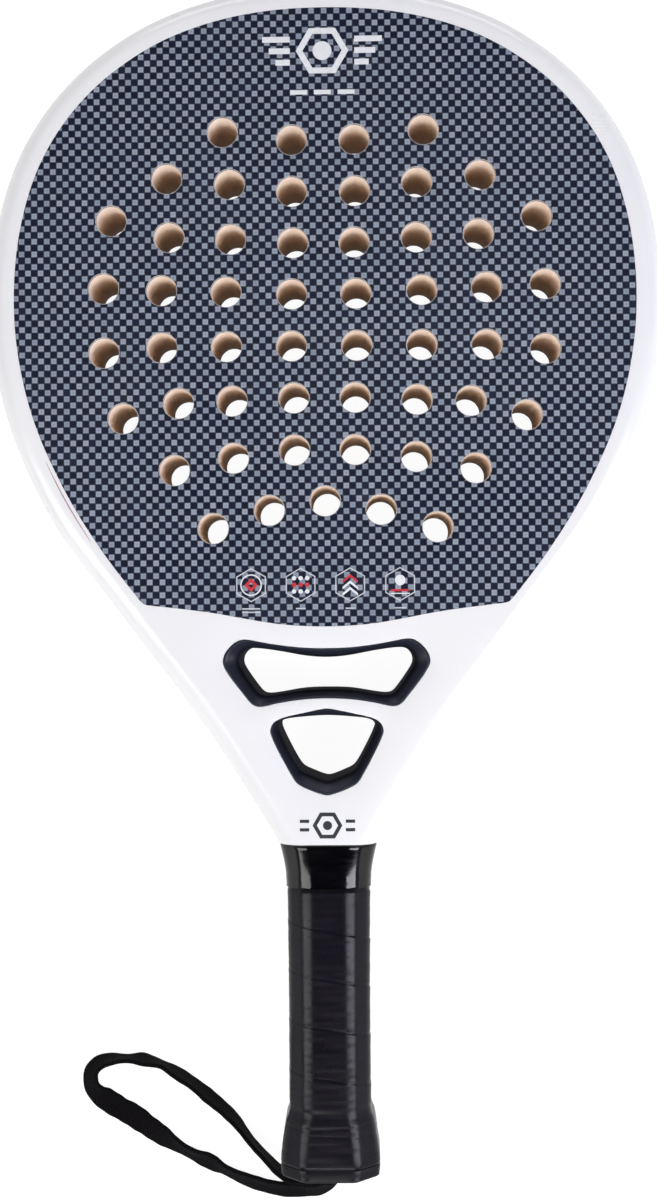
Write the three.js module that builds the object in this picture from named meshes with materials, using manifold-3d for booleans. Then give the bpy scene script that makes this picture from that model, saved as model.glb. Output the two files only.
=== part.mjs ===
// Padel racket, lying on its back face: X across, +Y towards the top of the head, +Z up through the
// thickness. Millimetres. Origin at the middle of the box around the racket, on the surface it lies on.
import * as THREE from 'three';
import { mergeVertices } from 'three/addons/utils/BufferGeometryUtils.js';
import Module from 'manifold-3d';

// ---- driving dimensions -------------------------------------------------------------------------
const THICK = 38;          // overall thickness of head and throat
const END_Y = -227.4;      // butt end (the top of the head is at +227.4)
const RIM = 10.8;          // width of the moulded rim outside the hitting face
const WALL = 1.8;          // wall of the hollow moulded frame
const SKIN = 1.0;          // thickness of each woven face laminate
const GAP = 0.3;           // clearance between pieces that touch
const ROUND_XY = 7.6;      // rounding of the rim, across
const ROUND_Z = 9.5;       // rounding of the rim, through the thickness
const HOLE_R = 5.7;        // radius of the drilled holes
const HOLE_SIDES = 10;
const MID = THICK / 2;

// Right half of the hitting face's edge, from the top round to the lower corner.
const FACE_SIDE = [
  [0, 216.6], [14, 216.2], [28, 214.6], [42, 211.6], [54.9, 207.3], [65.6, 202.3], [80.7, 192.3], [91.5, 182.3],
  [99.6, 172.3], [105.7, 162.3], [110.2, 152.3], [113.3, 142.3], [115.6, 132.3], [117.0, 122.3], [117.8, 110],
  [117.8, 102.3], [117.2, 92.3], [115.8, 82.3], [113.8, 72.3], [111.0, 62.3], [107.4, 52.3], [102.9, 42.3],
  [97.9, 32.3], [92.1, 22.3], [85.6, 12.3], [78.4, 2.3], [70.5, -7.7], [68.6, -9.6],
];
// Right half of its lower edge, from the corner to the middle.
const FACE_LOW = [[61.5, -10.4], [44, -12.6], [32, -14.8], [20, -16.9], [10, -17.9], [0, -18.2]];
// Right half of the frame's widest outline below the head: throat arm down to the neck.
const ARM = [[93.8, 7.7], [82.5, -7.9], [67.9, -27.4], [53.0, -46.8], [39.6, -66.2], [27.2, -85.6], [18.9, -99.7]];

// Throat windows: outer edge of each moulded sleeve, right half from the top middle to the bottom middle.
const UPPER_OUT = [[0, -26.4], [8, -26.2], [18, -25.1], [29, -23.1], [33, -23.2], [36.5, -25.8], [38.9, -29.2],
  [39.2, -31.8], [37.2, -35.6], [31.2, -43.6], [27.6, -47.8], [24.8, -48.2], [18, -46.8], [9, -45.5], [0, -45.1]];
const UPPER_IN = [[0, -29.7], [8, -29.1], [18, -27.3], [27.6, -26.2], [30.4, -26.9], [32.8, -29.4], [33.2, -32.3],
  [31.2, -35.8], [26.4, -42.4], [23.8, -44.1], [19, -43.8], [9, -42.2], [0, -41.9]];
const LOWER_OUT = [[0, -49.2], [9, -50.7], [17.6, -52.9], [20.3, -54.8], [21.4, -57.6], [20.4, -60.4], [13.2, -74.2],
  [10.8, -77.4], [7.2, -79.4], [0, -81.5]];
const LOWER_IN = [[0, -51.8], [8, -52.2], [16, -53.4], [17.8, -54.6], [18.2, -56.6], [17.3, -58.8], [11.0, -71.0],
  [8.8, -73.2], [5.6, -74.8], [0, -76.4]];

// Holes: rows of [half distance from the middle line, y]; 0 is a hole on the middle line.
const HOLES = [
  [38.05, 169.5], [11.85, 166.2], [59.35, 152.0], [35.5, 149.6], [11.9, 146.6],
  [80.55, 136.2], [58.6, 129.7], [35.15, 128.7], [11.6, 127.1],
  [83.6, 110.45], [61.5, 109.5], [37.05, 108.75], [12.15, 107.65],
  [83.5, 86.0], [61.5, 87.8], [36.95, 87.95], [12.35, 87.95],
  [76.35, 61.0], [55.3, 66.6], [35.0, 67.3], [11.6, 68.25],
  [56.95, 41.2], [34.55, 45.65], [11.5, 48.5], [42.4, 19.1], [21.15, 25.8], [0, 29.2],
];

// Handle: half widths and half thicknesses of its layers.
const NECK_Y = -100.5;
const SHAFT = [6.5, 8];            // the frame's own stem inside the handle
const PALLET = [11.6, 12.6];       // moulded handle halves around the stem
const CUSHION = [13.4, 14.6];      // soft layer under the wrap
const GRIP = [15.6, 17.2];         // outside of the wrap
const BUTT = [18.6, 18.0];         // widest part of the butt
const WRAP_PITCH = 18.5;           // one turn of the spiral wrap

// Wrist cord: webbing loop that lies on the surface to the left of the handle.
const CORD_R = 3.9;
const CORD_PATH = [
  [4.4, END_Y - 0.5, 12.4], [4.4, -229, 12.4], [4.3, -232.4, 12.2], [2.8, -237.2, 10.0], [-3.4, -241.6, 6.4], [-11.5, -242.7, 4.3],
  [-18.4, -242.0, 4.0], [-30.5, -238.8, 4.0], [-42.8, -233.0, 4.0], [-55.0, -227.2, 4.0], [-67.0, -220.6, 4.0], [-79.3, -212.7, 4.0],
  [-88.0, -207.2, 4.0], [-94.0, -202.4, 4.0], [-95.6, -196.6, 4.0], [-93.4, -191.9, 4.0], [-86.0, -189.3, 4.0], [-76.2, -189.2, 4.0],
  [-67.1, -191.7, 4.0], [-54.8, -199.0, 4.0], [-42.6, -209.2, 4.0], [-31.6, -222.0, 4.0], [-24.8, -229.8, 4.4], [-20.6, -234.2, 6.6],
  [-15.2, -236.9, 9.6], [-9.2, -236.6, 12.2], [-5.6, -233.4, 13.4], [-4.5, -230.4, 13.8], [-4.4, -229, 13.8], [-4.4, END_Y - 0.5, 13.8],
];

// ---- helpers ------------------------------------------------------------------------------------
const wasm = await Module();
wasm.setup();

function solidOf(geometry) {
  const g = geometry.index ? geometry.toNonIndexed() : geometry.clone();
  for (const n of Object.keys(g.attributes)) if (n !== 'position') g.deleteAttribute(n);
  const m = mergeVertices(g, 1e-4);
  return new wasm.Manifold(new wasm.Mesh({
    numProp: 3, vertProperties: new Float32Array(m.attributes.position.array), triVerts: new Uint32Array(m.index.array),
  }));
}
function geometryOf(solid) {
  const mesh = solid.getMesh();
  const g = new THREE.BufferGeometry();
  g.setAttribute('position', new THREE.BufferAttribute(new Float32Array(mesh.vertProperties), 3));
  g.setIndex(new THREE.BufferAttribute(new Uint32Array(mesh.triVerts), 1));
  g.computeVertexNormals();
  return g;
}
const ccw = (pts) => (THREE.ShapeUtils.area(pts.map((p) => new THREE.Vector2(p[0], p[1]))) < 0 ? pts.slice().reverse() : pts);
// Whole outline from its right half (top middle to bottom middle).
function mirrored(half) {
  const left = half.filter((p) => Math.abs(p[0]) > 1e-6).reverse().map((p) => [-p[0], p[1]]);
  return ccw([...half, ...left]);
}
// Outline moved outwards by d (inwards when negative).
function offset(pts, d) {
  const n = pts.length;
  return pts.map((p, i) => {
    const a = pts[(i + n - 1) % n], b = pts[(i + 1) % n];
    const u = [p[0] - a[0], p[1] - a[1]], v = [b[0] - p[0], b[1] - p[1]];
    const lu = Math.hypot(...u), lv = Math.hypot(...v);
    const n1 = [u[1] / lu, -u[0] / lu], n2 = [v[1] / lv, -v[0] / lv];
    const k = 1 + n1[0] * n2[0] + n1[1] * n2[1];
    const s = d / Math.max(k, 0.45);
    return [p[0] + (n1[0] + n2[0]) * s, p[1] + (n1[1] + n2[1]) * s];
  });
}
const shapeOf = (pts) => new THREE.Shape(pts.map((p) => new THREE.Vector2(p[0], p[1])));
// Plain prism between two heights.
function prism(pts, z0, z1) {
  const g = new THREE.ExtrudeGeometry(shapeOf(pts), { depth: z1 - z0, bevelEnabled: false, steps: 1 });
  g.translate(0, 0, z0);
  return solidOf(g);
}
// Slab whose edges are rounded in by rxy over a height rz at both faces.
function roundedSlab(pts, z0, z1, rxy, rz, segments) {
  const g = new THREE.ExtrudeGeometry(shapeOf(offset(pts, -rxy)), {
    depth: z1 - z0 - 2 * rz, steps: 1, bevelEnabled: true, bevelThickness: rz, bevelSize: rxy, bevelSegments: segments,
  });
  g.translate(0, 0, z0 + rz);
  return solidOf(g);
}
// Octagon for the handle, half width a and half thickness b, around the handle's axis.
function octagon(a, b, c = 0.5) {
  const fx = a * c, fz = b * c;
  return [[fx, b], [-fx, b], [-a, fz], [-a, -fz], [-fx, -b], [fx, -b], [a, -fz], [a, fz]];
}
// Stack of octagons joined along Y; each station is [y, half width, half thickness].
function barrel(stations) {
  const ring = stations.map(([, a, b]) => octagon(a, b));
  const pos = [], idx = [];
  ring.forEach((r, i) => r.forEach(([x, z]) => pos.push(x, stations[i][0], MID + z)));
  const n = 8, m = stations.length;
  for (let i = 0; i + 1 < m; i++) for (let k = 0; k < n; k++) {
    const a = i * n + k, b = i * n + (k + 1) % n, c = a + n, d = b + n;
    idx.push(a, b, c, b, d, c);
  }
  for (let k = 1; k + 1 < n; k++) idx.push(0, k + 1, k, (m - 1) * n, (m - 1) * n + k, (m - 1) * n + k + 1);
  const g = new THREE.BufferGeometry();
  g.setAttribute('position', new THREE.Float32BufferAttribute(pos, 3));
  g.setIndex(idx);
  const s = solidOf(g);
  if (s.volume() > 0) return s;
  const flipped = [];
  for (let i = 0; i < idx.length; i += 3) flipped.push(idx[i], idx[i + 2], idx[i + 1]);
  g.setIndex(flipped);
  return solidOf(g);
}
const box = (x0, x1, y0, y1, z0, z1) => {
  const g = new THREE.BoxGeometry(x1 - x0, y1 - y0, z1 - z0);
  g.translate((x0 + x1) / 2, (y0 + y1) / 2, (z0 + z1) / 2);
  return solidOf(g);
};

const group = new THREE.Group();
group.name = 'padel_racket';
function piece(name, solid, color, roughness, metalness = 0) {
  const geometry = solid instanceof THREE.BufferGeometry ? solid : geometryOf(solid);
  const mesh = new THREE.Mesh(geometry, new THREE.MeshStandardMaterial({ color, roughness, metalness }));
  mesh.name = name;
  group.add(mesh);
}

// ---- outlines -----------------------------------------------------------------------------------
const FACE = mirrored([...FACE_SIDE, ...FACE_LOW]);
const headHalf = offset(FACE, RIM).filter((p) => p[0] >= -1e-6 && p[1] > 14).sort((p, q) => q[1] - p[1]);
headHalf[0][0] = 0;
const OUTER = mirrored([...headHalf, ...ARM, [0, NECK_Y + 0.5]]);
const upperOut = mirrored(UPPER_OUT), upperIn = mirrored(UPPER_IN);
const lowerOut = mirrored(LOWER_OUT), lowerIn = mirrored(LOWER_IN);

// ---- frame: hollow moulding of hoop, throat with two windows, and stem ---------------------------
const CUT = [-5, THICK + 5];
const inside = roundedSlab(offset(OUTER, -WALL), WALL, THICK - WALL, ROUND_XY - 1, ROUND_Z - 1, 2)
  .subtract(box(-60, 60, -160, -93, -5, 60));
const windowWall = prism(offset(upperOut, WALL + GAP), ...CUT).add(prism(offset(lowerOut, WALL + GAP), ...CUT));
const stem = barrel([[-95, ...SHAFT], [-206, ...SHAFT]]);
const frame = roundedSlab(OUTER, 0, THICK, ROUND_XY, ROUND_Z, 3)
  .subtract(inside.subtract(windowWall))
  .subtract(prism(FACE, ...CUT))
  .subtract(prism(offset(upperOut, GAP), ...CUT))
  .subtract(prism(offset(lowerOut, GAP), ...CUT))
  .add(stem);
piece('frame', frame, 0xeceef2, 0.32);

// Light foam that fills the hollow frame and glues to the edge of the core.
const foamIn = roundedSlab(offset(OUTER, -WALL - GAP), WALL + GAP, THICK - WALL - GAP, ROUND_XY - 1, ROUND_Z - 1, 2)
  .subtract(box(-60, 60, -160, -92.6, -5, 60));
piece('frame_foam_filler', foamIn
  .subtract(prism(offset(upperOut, WALL + 2 * GAP + 0.05), ...CUT))
  .subtract(prism(offset(lowerOut, WALL + 2 * GAP + 0.05), ...CUT))
  .subtract(prism(offset(FACE, GAP), ...CUT)), 0xd8c9a4, 0.95);

// ---- hitting face: foam core between two woven laminates, drilled through -----------------------
function drilled(pts, z0, z1, r) {
  const shape = shapeOf(pts);
  for (const [hx, hy] of HOLES) {
    for (const s of hx ? [1, -1] : [1]) {
      const path = new THREE.Path();
      for (let k = 0; k < HOLE_SIDES; k++) {
        const a = ((k + 0.5) / HOLE_SIDES) * Math.PI * 2;
        const x = s * hx + r * Math.cos(a), y = hy + r * Math.sin(a);
        if (k) path.lineTo(x, y); else path.moveTo(x, y);
      }
      path.closePath();
      shape.holes.push(path);
    }
  }
  const g = new THREE.ExtrudeGeometry(shape, { depth: z1 - z0, bevelEnabled: false, steps: 1 });
  g.translate(0, 0, z0);
  return solidOf(g);
}
const faceEdge = offset(FACE, -GAP);
piece('back_face_skin', drilled(faceEdge, 0, SKIN, HOLE_R), 0x1d222c, 0.35);
piece('foam_core', drilled(faceEdge, SKIN + GAP, THICK - SKIN - GAP, HOLE_R), 0xc9a57c, 0.9);
piece('front_face_skin', drilled(faceEdge, THICK - SKIN, THICK, HOLE_R), 0x1d222c, 0.35);

// ---- throat window sleeves ----------------------------------------------------------------------
piece('upper_window_sleeve', prism(upperOut, 0.4, THICK - 0.4).subtract(prism(upperIn, ...CUT)), 0x14161a, 0.4);
piece('lower_window_sleeve', prism(lowerOut, 0.4, THICK - 0.4).subtract(prism(lowerIn, ...CUT)), 0x14161a, 0.4);

// ---- handle -------------------------------------------------------------------------------------
const grow = (s, g) => s.map((v) => v + g);
const stemRoom = barrel([[-95, ...grow(SHAFT, GAP)], [-206.6, ...grow(SHAFT, GAP)]]);
const palletBlock = barrel([[NECK_Y - GAP - 0.5, ...PALLET], [-212, ...PALLET]]).subtract(stemRoom);
piece('handle_half_front', palletBlock.subtract(box(-40, 40, -260, 0, -5, MID + GAP / 2)), 0x2b2b2b, 0.8);
piece('handle_half_back', palletBlock.subtract(box(-40, 40, -260, 0, MID - GAP / 2, 60)), 0x2b2b2b, 0.8);

piece('cushion_underwrap', barrel([[NECK_Y - GAP - 0.5, ...CUSHION], [-203, ...CUSHION]])
  .subtract(barrel([[-90, ...grow(PALLET, GAP)], [-230, ...grow(PALLET, GAP)]])), 0x3a3a3c, 0.95);

// Collar at the neck: short flared ring.
piece('neck_collar', barrel([[NECK_Y - GAP, 18.6, 18.7], [-104.0, 18.3, 18.6], [-108.0, 17.5, 18.2], [-112.5, 16.5, 17.8], [-117.6, 16.1, 17.6]])
  .subtract(barrel([[-90, ...grow(CUSHION, GAP)], [-130, ...grow(CUSHION, GAP)]])), 0x0e0f11, 0.2);

// Spiral wrap: one sleeve with a small step at each turn, flaring over the butt.
const wrapStations = [[-117.9, GRIP[0], GRIP[1]]];
for (let y = -122.5; y > -200; y -= WRAP_PITCH) {
  wrapStations.push([y, GRIP[0] + 0.25, GRIP[1] + 0.2], [y - 1.6, GRIP[0] - 0.3, GRIP[1] - 0.3]);
}
wrapStations.push([-202, GRIP[0], GRIP[1]], [-206, 16.8, 17.4], [-212, 17.6, 17.7], [-218.8, 18.6, 18.0]);
piece('grip_wrap', barrel(wrapStations)
  .subtract(barrel([[-100, ...grow(CUSHION, GAP)], [-203.3, ...grow(CUSHION, GAP)], [-212, 15.2, 15.4], [-218.9, 16.4, 16.0]].map((s) => s))), 0x17181a, 0.75);

// Butt cap: cup pushed over the end of the handle halves; its rim shows below the wrap.
const buttCap = barrel([[-203.4, CUSHION[0], CUSHION[1]], [-212, 14.8, 15.0], [-218.9, 15.9, 15.6], [-219.15, 15.9, 15.6], [-219.2, 18.7, 18.1], [-223.4, ...grow(BUTT, 0.4)], [END_Y + 1.6, 17.6, 17.2], [END_Y, 15.4, 15.0]])
  .subtract(barrel([[-200, ...grow(PALLET, GAP)], [-212.3, ...grow(PALLET, GAP)]]))
  .subtract(barrel([[-212.2, 10.2, 10.8], [-224.6, 10.2, 10.8]]))
  .subtract(barrel([[-224.5, 12.3, 11.9], [END_Y - 1, 12.3, 11.9]]));
piece('butt_cap', buttCap, 0x101113, 0.55);

// End plate that closes the cap, with the slot that the cord's two ends come out of.
const slot = box(-9, 9, END_Y - 1, -224, 4.0 + 3.2, 14.6 + 3.6);
piece('end_plate', barrel([[-224.8, 12.0, 11.6], [END_Y, 12.0, 11.6]]).subtract(slot), 0x121315, 0.5);

// Bar inside the cap that the cord is looped round.
const bar = new THREE.CylinderGeometry(1.6, 1.6, 18.0, 12);
bar.rotateZ(Math.PI / 2);
bar.translate(0, -219, 14.5);
piece('cord_anchor_bar', solidOf(bar), 0xb9bcc0, 0.35, 1);

// ---- wrist cord ---------------------------------------------------------------------------------
const route = new THREE.CatmullRomCurve3(CORD_PATH.map((p) => new THREE.Vector3(...p)), false, 'centripetal');
const ring = new THREE.Shape();
for (let k = 0; k < 8; k++) {
  const a = ((k + 0.5) / 8) * Math.PI * 2;
  const x = CORD_R * Math.cos(a), y = CORD_R * Math.sin(a);
  if (k) ring.lineTo(x, y); else ring.moveTo(x, y);
}
ring.closePath();
piece('wrist_cord', solidOf(new THREE.ExtrudeGeometry(ring, { steps: 64, bevelEnabled: false, extrudePath: route })), 0x121214, 0.9);

export default group;
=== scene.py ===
import math
import bpy
import bmesh
import numpy as np
from mathutils import Matrix, Vector
from mathutils.geometry import delaunay_2d_cdt


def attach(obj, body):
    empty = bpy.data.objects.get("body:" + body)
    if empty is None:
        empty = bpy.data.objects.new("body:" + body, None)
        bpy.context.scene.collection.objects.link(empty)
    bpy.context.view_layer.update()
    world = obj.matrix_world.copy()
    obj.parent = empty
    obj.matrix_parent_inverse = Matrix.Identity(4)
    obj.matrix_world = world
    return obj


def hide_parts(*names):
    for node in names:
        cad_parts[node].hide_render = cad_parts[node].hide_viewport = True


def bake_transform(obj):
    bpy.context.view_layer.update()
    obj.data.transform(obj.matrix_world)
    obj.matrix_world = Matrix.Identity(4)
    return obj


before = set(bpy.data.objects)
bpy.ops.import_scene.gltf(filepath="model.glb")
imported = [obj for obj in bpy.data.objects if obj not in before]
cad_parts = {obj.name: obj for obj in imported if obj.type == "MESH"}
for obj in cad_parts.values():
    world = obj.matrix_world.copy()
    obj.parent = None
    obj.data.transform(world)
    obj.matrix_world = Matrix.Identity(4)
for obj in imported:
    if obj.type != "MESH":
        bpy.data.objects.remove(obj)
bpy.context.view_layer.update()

MM = 0.001
scene = bpy.context.scene
rng = np.random.default_rng(7)

# ------------------------------------------------------------------------------------------------
# camera
# ------------------------------------------------------------------------------------------------
TURN = math.radians(0.41)
ct, st = math.cos(-TURN), math.sin(-TURN)


def turned(v):
    return Vector((v[0] * ct - v[1] * st, v[0] * st + v[1] * ct, v[2]))


def make_camera():
    focal = 1580.6
    r = Vector((36.8, 25.2, focal)).normalized()          # straight down, in camera axes (right, down, forward)
    ax = Vector((1, 0, 0))
    X = (ax - ax.dot(r) * r).normalized()
    Z = -r
    Y = Z.cross(X)
    right = turned(Vector((X[0], Y[0], Z[0])))
    up = turned(-Vector((X[1], Y[1], Z[1])))
    back = turned(-Vector((X[2], Y[2], Z[2])))
    place = turned(Vector((14.9, -17.7, 38 + 595.33)))
    cam = bpy.data.cameras.new("camera")
    cam.sensor_width = 36.0
    cam.sensor_fit = "AUTO"
    cam.lens = focal / 1200.0 * 36.0
    cam.clip_start = 0.01
    cam.clip_end = 20
    obj = bpy.data.objects.new("camera", cam)
    m = Matrix((right, up, back)).transposed().to_4x4()
    m.translation = place * MM
    obj.matrix_world = m
    scene.collection.objects.link(obj)
    scene.camera = obj


make_camera()

# ------------------------------------------------------------------------------------------------
# curve helpers (2D, millimetres)
# ------------------------------------------------------------------------------------------------
def catmull(pts, step, closed=False):
    p = np.asarray(pts, float)
    if closed:
        q = np.vstack([p[-1], p, p[0], p[1]])
        n = len(p)
    else:
        q = np.vstack([2 * p[0] - p[1], p, 2 * p[-1] - p[-2]])
        n = len(p) - 1
    out = []
    for i in range(n):
        p0, p1, p2, p3 = q[i], q[i + 1], q[i + 2], q[i + 3]
        t0 = 0.0
        t1 = t0 + max(np.linalg.norm(p1 - p0), 1e-6) ** 0.5
        t2 = t1 + max(np.linalg.norm(p2 - p1), 1e-6) ** 0.5
        t3 = t2 + max(np.linalg.norm(p3 - p2), 1e-6) ** 0.5
        k = max(2, int(math.ceil(np.linalg.norm(p2 - p1) / step)))
        for t in np.linspace(t1, t2, k, endpoint=False):
            a1 = (t1 - t) / (t1 - t0) * p0 + (t - t0) / (t1 - t0) * p1
            a2 = (t2 - t) / (t2 - t1) * p1 + (t - t1) / (t2 - t1) * p2
            a3 = (t3 - t) / (t3 - t2) * p2 + (t - t2) / (t3 - t2) * p3
            b1 = (t2 - t) / (t2 - t0) * a1 + (t - t0) / (t2 - t0) * a2
            b2 = (t3 - t) / (t3 - t1) * a2 + (t - t1) / (t3 - t1) * a3
            out.append((t2 - t) / (t2 - t1) * b1 + (t - t1) / (t2 - t1) * b2)
    if not closed:
        out.append(p[-1])
    return np.array(out)


def resample(p, n, closed=False):
    p = np.asarray(p, float)
    if closed:
        p = np.vstack([p, p[:1]])
    s = np.concatenate([[0], np.cumsum(np.linalg.norm(np.diff(p, axis=0), axis=1))])
    t = np.linspace(0, s[-1], n, endpoint=not closed)
    return np.stack([np.interp(t, s, p[:, k]) for k in range(p.shape[1])], 1)


def length_of(p, closed=False):
    p = np.asarray(p, float)
    if closed:
        p = np.vstack([p, p[:1]])
    return float(np.linalg.norm(np.diff(p, axis=0), axis=1).sum())


def gauss(p, sigma, closed=False):
    """p is evenly spaced; sigma in samples."""
    r = int(math.ceil(3 * sigma))
    k = np.exp(-0.5 * (np.arange(-r, r + 1) / sigma) ** 2)
    k /= k.sum()
    if closed:
        q = np.vstack([p[-r:], p, p[:r]])
    else:
        d0, d1 = p[0] - p[1], p[-1] - p[-2]
        q = np.vstack([p[0] + d0 * np.arange(r, 0, -1)[:, None], p, p[-1] + d1 * np.arange(1, r + 1)[:, None]])
    return np.stack([np.convolve(q[:, c], k, "valid") for c in range(p.shape[1])], 1)


def area(p):
    x, y = p[:, 0], p[:, 1]
    return 0.5 * float((x * np.roll(y, -1) - y * np.roll(x, -1)).sum())


def ccw(p):
    return p if area(p) > 0 else p[::-1].copy()


def offset(p, d):
    """Closed counter-clockwise outline moved outwards by d."""
    a, b = np.roll(p, 1, 0), np.roll(p, -1, 0)
    u, v = p - a, b - p
    u /= np.linalg.norm(u, axis=1)[:, None]
    v /= np.linalg.norm(v, axis=1)[:, None]
    n1 = np.stack([u[:, 1], -u[:, 0]], 1)
    n2 = np.stack([v[:, 1], -v[:, 0]], 1)
    k = np.maximum(1 + (n1 * n2).sum(1), 0.5)
    return p + (n1 + n2) * (d / k)[:, None]


def both(half):
    """Whole open curve, left end to right end, from its right half that starts on the middle line."""
    h = np.asarray(half, float)
    left = h[::-1].copy()
    left[:, 0] *= -1
    return np.vstack([left[:-1], h])


# ------------------------------------------------------------------------------------------------
# the racket's outlines
# ------------------------------------------------------------------------------------------------
THICK, MID, END_Y = 38.0, 19.0, -227.4
NECK_Y = -100.4
RIM = 10.8
FACE_SIDE = [
    (0, 216.6), (14, 216.2), (28, 214.6), (42, 211.6), (54.9, 207.3), (65.6, 202.3), (80.7, 192.3), (91.5, 182.3),
    (99.6, 172.3), (105.7, 162.3), (110.2, 152.3), (113.3, 142.3), (115.6, 132.3), (117.0, 122.3), (117.8, 110),
    (117.8, 102.3), (117.2, 92.3), (115.8, 82.3), (113.8, 72.3), (111.0, 62.3), (107.4, 52.3), (102.9, 42.3),
    (97.9, 32.3), (92.1, 22.3), (85.6, 12.3), (78.4, 2.3), (70.5, -7.7), (69.0, -9.6),
]
FACE_LOW = [(0, -18.2), (10, -17.9), (20, -16.9), (32, -14.8), (44, -12.6), (61.5, -10.4), (69.0, -9.6)]
ARM = [(94.2, 7.4), (82.5, -7.9), (67.9, -27.4), (53.0, -46.8), (39.6, -66.2), (27.4, -85.6), (18.8, -99.9), (12.4, -111.5)]
UPPER_OUT = [(0, -26.4), (8, -26.2), (18, -25.1), (26, -23.7), (30.6, -22.9), (33.2, -23.3), (36.5, -25.8), (38.7, -29.0),
             (39.1, -31.8), (37.2, -35.6), (31.2, -43.6), (28.6, -46.8), (26.9, -48.0), (24.6, -48.2), (18, -46.8), (9, -45.5), (0, -45.1)]
UPPER_IN = [(0, -29.8), (8, -29.2), (18, -27.4), (26.0, -26.3), (29.4, -26.3), (31.4, -27.3), (33.0, -29.5), (33.2, -32.2),
            (31.2, -35.8), (26.6, -42.2), (25.2, -43.7), (23.2, -44.2), (19, -43.8), (9, -42.2), (0, -41.9)]
LOWER_OUT = [(0, -49.1), (2.2, -49.4), (9, -50.8), (17.2, -52.8), (20.0, -54.4), (21.3, -57.2), (20.4, -60.4), (13.4, -74.0),
             (11.4, -77.0), (8.0, -79.0), (2.4, -81.1), (0, -81.6)]
LOWER_IN = [(0, -51.9), (8, -52.3), (15.6, -53.2), (17.6, -54.2), (18.3, -56.2), (17.5, -58.8), (11.4, -70.6), (9.6, -72.8),
            (6.6, -74.3), (1.8, -76.2), (0, -76.6)]
HOLES = [
    (38.05, 169.5), (11.85, 166.2), (59.35, 152.0), (35.5, 149.6), (11.9, 146.6),
    (80.55, 136.2), (58.6, 129.7), (35.15, 128.7), (11.6, 127.1),
    (83.6, 110.45), (61.5, 109.5), (37.05, 108.75), (12.15, 107.65),
    (83.5, 86.0), (61.5, 87.8), (36.95, 87.95), (12.35, 87.95),
    (76.35, 61.0), (55.3, 66.6), (35.0, 67.3), (11.6, 68.25),
    (56.95, 41.2), (34.55, 45.65), (11.5, 48.5), (42.4, 19.1), (21.15, 25.8), (0, 29.2),
]
HOLE_R = 5.7
HOLE_AT = [(s * x, y) for x, y in HOLES for s in ((1, -1) if x else (1,))]


def face_outline():
    side = catmull(both(FACE_SIDE), 1.0)
    side = resample(side, int(length_of(side)) + 1)
    side = gauss(side, 4.0)
    low = catmull(both(FACE_LOW), 1.0)[::-1]
    low = resample(low, int(length_of(low)) + 1)
    low = gauss(low, 3.0)
    ring = np.vstack([side[:-1], low[:-1]])
    ring = resample(ring, int(length_of(ring, True) / 0.7), True)
    ring = gauss(ring, 1.5, True)
    return ccw(resample(ring, 520, True)), side


FACE, face_side = face_outline()


def outer_outline():
    d = np.gradient(face_side, axis=0)
    d /= np.linalg.norm(d, axis=1)[:, None]
    n = np.stack([-d[:, 1], d[:, 0]], 1)                   # left end over the top to the right end: outwards is on the left
    off = face_side + n * RIM
    right = off[(face_side[:, 0] >= 0) & (face_side[:, 1] > 34)]
    right = resample(right, 36)
    right[0] = (0, right[0][1])
    half = np.vstack([right, [(101.9, 17.6)], ARM])
    full = catmull(both(half), 0.8)
    full = resample(full, int(length_of(full)) + 1)
    full = gauss(full, 5.0)
    full = resample(full, 760)
    return ccw(full)


OUTER = outer_outline()


def window(half, n=168, sigma=1.6):
    ring = both(half)[:-1] if abs(half[-1][0]) < 1e-6 else both(half)
    h = np.asarray(half, float)
    left = h[1:-1][::-1].copy()
    left[:, 0] *= -1
    ring = np.vstack([h, left])
    c = catmull(ring, 0.25, True)
    c = resample(c, int(length_of(c, True) / 0.25), True)
    c = gauss(c, sigma / 0.5, True)
    top = int(np.argmin(np.abs(c[:, 0]) + (c[:, 1] < c[:, 1].mean()) * 1e3))
    c = np.roll(c, -top, 0)
    if area(c) < 0:
        c = np.vstack([c[:1], c[1:][::-1]])
    return resample(c, n, True)


UP_OUT, UP_IN = window(UPPER_OUT), window(UPPER_IN)
LO_OUT, LO_IN = window(LOWER_OUT, sigma=1.0), window(LOWER_IN, sigma=1.0)


def circle(x, y, r, n):
    a = (np.arange(n) + 0.5) / n * 2 * math.pi
    return np.stack([x + r * np.cos(a), y + r * np.sin(a)], 1)


# ------------------------------------------------------------------------------------------------
# mesh helpers
# ------------------------------------------------------------------------------------------------
def inside(points, loops):
    x, y = points[:, 0], points[:, 1]
    odd = np.zeros(len(points), bool)
    for p in loops:
        x0, y0 = p[:, 0], p[:, 1]
        x1, y1 = np.roll(x0, -1), np.roll(y0, -1)
        for k in range(0, len(points), 4096):
            X, Y = x[k:k + 4096, None], y[k:k + 4096, None]
            hit = ((y0 > Y) != (y1 > Y)) & (X < (x1 - x0) * (Y - y0) / np.where(y1 == y0, 1e-12, y1 - y0) + x0)
            odd[k:k + 4096] ^= (hit.sum(1) % 2).astype(bool)
    return odd


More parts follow.
